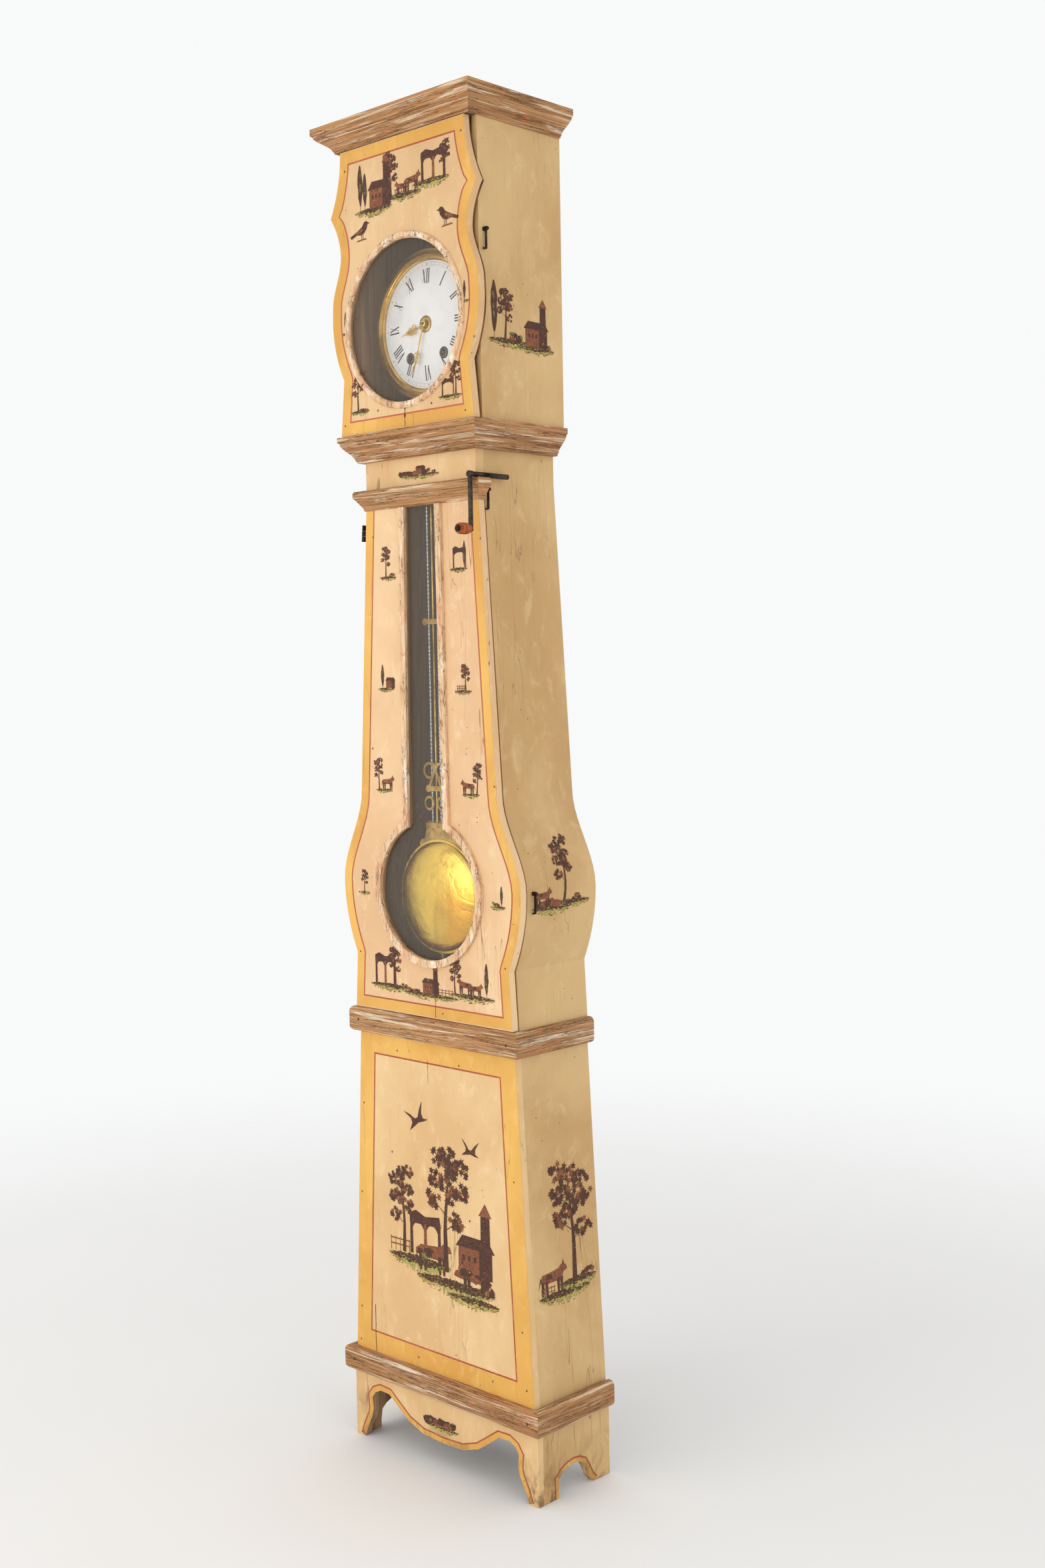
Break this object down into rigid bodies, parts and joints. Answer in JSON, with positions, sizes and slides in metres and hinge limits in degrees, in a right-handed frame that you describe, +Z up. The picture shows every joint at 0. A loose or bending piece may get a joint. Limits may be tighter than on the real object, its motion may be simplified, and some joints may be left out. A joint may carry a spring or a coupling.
{
  "type": "longcase clock",
  "caption": "Tall painted wooden case with a bulging trunk, glazed hinged doors, enamel dial, striking movement, lyre pendulum and hanging weights.",
  "frame": {"origin": "on the floor, in the middle of the object's bounding box", "axes": "+X to the clock's right as the viewer sees it, +Y to the back, +Z up"},
  "size_m": [0.5, 0.2564, 2.4],
  "materials": {
    "painted_front": "aged cream paint with ochre borders and a red line",
    "painted_side": "aged tan paint",
    "worn_moulding": "worn gesso and orange paint on wood",
    "dark_wood": "bare dark wood",
    "black_iron": "forged, dark",
    "enamel": "glossy white enamel",
    "old_brass": "polished, aged",
    "wheel_brass": "satin",
    "bell_bronze": "cast, dull",
    "clear_glass": "clear, old",
    "handle_wood": "turned, waxed",
    "steel": "drawn",
    "rope": "twisted hemp"
  },
  "bodies": {
    "case": {"base_front_board": "painted_front", "base_side_boards": "painted_side", "lower_belt": "worn_moulding", "pedestal_front_board": "painted_front", "pedestal_side_boards": "painted_side", "middle_belt": "worn_moulding", "trunk_side_boards": "painted_side", "frieze_board": "painted_front", "waist_cornice": "worn_moulding", "hood_side_boards": "painted_side", "roof_board": "dark_wood", "top_cornice": "worn_moulding", "back_board": "dark_wood", "seat_board": "dark_wood", "case_hinge_leaves": "black_iron", "hook_pins": "black_iron", "movement_cage": "black_iron", "arbor_bars": "black_iron", "dial_enamel": "enamel", "dial_surround": "old_brass", "dial_feet": "black_iron", "bell": "bell_bronze", "top_brackets": "black_iron", "going_rope": "rope", "strike_rope": "rope"},
    "hood_door": {"hood_door_board": "painted_front", "hood_door_strip": "dark_wood", "hood_ring_mould": "worn_moulding", "hood_glass": "clear_glass", "hood_door_leaves": "black_iron"},
    "trunk_door": {"trunk_door_board": "painted_front", "trunk_door_strip": "dark_wood", "trunk_window_mould": "worn_moulding", "trunk_door_cornice": "worn_moulding", "trunk_glass": "clear_glass", "trunk_door_leaves": "black_iron"},
    "hood_hook": {"hood_hook": "black_iron"},
    "trunk_hook_upper": {"trunk_hook_upper": "black_iron"},
    "trunk_hook_lower": {"trunk_hook_lower": "black_iron"},
    "crank": {"crank_key": "black_iron"},
    "crank_handle": {"crank_handle": "handle_wood"},
    "third_wheel": {"third_wheel": "wheel_brass"},
    "escape_wheel": {"escape_wheel": "wheel_brass"},
    "centre_arbor": {"minute_arbor": "wheel_brass", "minute_hand": "old_brass"},
    "hour_pipe": {"hour_wheel": "wheel_brass", "hour_hand": "old_brass"},
    "motion_wheel": {"minute_wheel": "wheel_brass"},
    "intermediate_wheel": {"going_intermediate_wheel": "wheel_brass"},
    "going_great_wheel": {"going_great_wheel": "wheel_brass"},
    "going_drum": {"going_drum": "handle_wood"},
    "strike_drum": {"strike_drum": "handle_wood"},
    "anchor": {"anchor_crutch": "steel"},
    "pendulum": {"pendulum_rods": "steel", "pendulum_brasses": "old_brass", "pendulum_bob": "old_brass"},
    "rating_nut": {"rating_nut": "steel"},
    "going_weight": {"going_weight": "black_iron"},
    "strike_weight": {"strike_weight": "black_iron"},
    "hammer": {"bell_hammer": "black_iron"}
  },
  "joints": [
    {"name": "hood_door_hinge", "type": "hinge", "parent": "case", "child": "hood_door", "pos_m": [-0.17, -0.07925, 2.042], "axis": [0, 0, 1], "range_deg": [-95, 0]},
    {"name": "trunk_door_hinge", "type": "hinge", "parent": "case", "child": "trunk_door", "pos_m": [-0.232, -0.04725, 1.058], "axis": [0.0971, 0, 0.9953], "range_deg": [-90, 0]},
    {"name": "hood_hook_turn", "type": "hinge", "parent": "case", "child": "hood_hook", "pos_m": [0.171, -0.06285, 2.172], "axis": [1, 0, 0], "range_deg": [-8, 45]},
    {"name": "trunk_hook_upper_turn", "type": "hinge", "parent": "case", "child": "trunk_hook_upper", "pos_m": [0.14505, -0.04285, 1.744], "axis": [1, 0, 0], "range_deg": [0, 60]},
    {"name": "trunk_hook_lower_turn", "type": "hinge", "parent": "case", "child": "trunk_hook_lower", "pos_m": [0.229, -0.03285, 1.058], "axis": [1, 0, 0], "range_deg": [-70, 30]},
    {"name": "crank_lift", "type": "slide", "parent": "trunk_door", "child": "crank", "axis": [0, 0, 1], "range_m": [0, 0.04]},
    {"name": "crank_grip_spin", "type": "hinge", "parent": "crank", "child": "crank_handle", "pos_m": [0.1491, -0.10625, 1.6748], "axis": [0, 1, 0], "continuous": true},
    {"name": "third_wheel_turn", "type": "hinge", "parent": "case", "child": "third_wheel", "pos_m": [0.00737, 0.04115, 2.07262], "axis": [0, 1, 0], "continuous": true},
    {"name": "escape_turn", "type": "hinge", "parent": "case", "child": "escape_wheel", "pos_m": [0, 0.04115, 2.1], "axis": [0, 1, 0], "continuous": true},
    {"name": "minute_turn", "type": "hinge", "parent": "case", "child": "centre_arbor", "pos_m": [0, 0.04115, 2.042], "axis": [0, 1, 0], "continuous": true},
    {"name": "hour_turn", "type": "hinge", "parent": "case", "child": "hour_pipe", "pos_m": [0, 0.04115, 2.042], "axis": [0, 1, 0], "continuous": true},
    {"name": "motion_turn", "type": "hinge", "parent": "case", "child": "motion_wheel", "pos_m": [0, 0.04115, 2.072], "axis": [0, 1, 0], "continuous": true},
    {"name": "intermediate_turn", "type": "hinge", "parent": "case", "child": "intermediate_wheel", "pos_m": [0.01294, 0.04115, 2.01287], "axis": [0, 1, 0], "continuous": true},
    {"name": "great_wheel_turn", "type": "hinge", "parent": "case", "child": "going_great_wheel", "pos_m": [0.042, 0.04115, 1.988], "axis": [0, 1, 0], "continuous": true},
    {"name": "going_weight_rise", "type": "slide", "parent": "case", "child": "going_weight", "axis": [0, 0, 1], "range_m": [0, 0.95], "deforming": ["going_rope"]},
    {"name": "strike_weight_rise", "type": "slide", "parent": "case", "child": "strike_weight", "axis": [0, 0, 1], "range_m": [0, 0.95], "deforming": ["strike_rope"]},
    {"name": "going_drum_turn", "type": "hinge", "parent": "case", "child": "going_drum", "pos_m": [0.042, 0.04115, 1.988], "axis": [0, 1, 0], "range_deg": [0, 1847.1]},
    {"name": "strike_drum_turn", "type": "hinge", "parent": "case", "child": "strike_drum", "pos_m": [-0.042, 0.04115, 1.988], "axis": [0, 1, 0], "range_deg": [-1847.1, 0]},
    {"name": "pendulum_swing", "type": "hinge", "parent": "case", "child": "pendulum", "pos_m": [0, -0.02685, 2.18], "axis": [0, 1, 0], "range_deg": [-2.5, 2.5]},
    {"name": "anchor_rock", "type": "hinge", "parent": "case", "child": "anchor", "pos_m": [0, 0.04115, 2.18], "axis": [0, 1, 0], "range_deg": [-2.5, 2.5]},
    {"name": "rating_nut_turn", "type": "hinge", "parent": "pendulum", "child": "rating_nut", "pos_m": [0, -0.03235, 0.92], "axis": [0, 0, 1], "continuous": true},
    {"name": "hammer_lift", "type": "hinge", "parent": "case", "child": "hammer", "pos_m": [0.069, 0.04215, 2.174], "axis": [0, 1, 0], "range_deg": [0, 10], "stiffness_Nm_per_rad": 0.05}
  ],
  "couplings": [
    {"joint": "third_wheel_turn", "follows": "escape_turn", "ratio": -0.14085},
    {"joint": "minute_turn", "follows": "escape_turn", "ratio": 0.017606},
    {"joint": "motion_turn", "follows": "escape_turn", "ratio": -0.0058685},
    {"joint": "hour_turn", "follows": "escape_turn", "ratio": 0.0014671},
    {"joint": "intermediate_turn", "follows": "escape_turn", "ratio": -0.0044014},
    {"joint": "great_wheel_turn", "follows": "escape_turn", "ratio": 0.00055018},
    {"joint": "going_drum_turn", "follows": "going_weight_rise", "rad_per_m": 33.898},
    {"joint": "strike_drum_turn", "follows": "strike_weight_rise", "rad_per_m": -33.898},
    {"joint": "anchor_rock", "follows": "pendulum_swing", "ratio": 1}
  ]
}
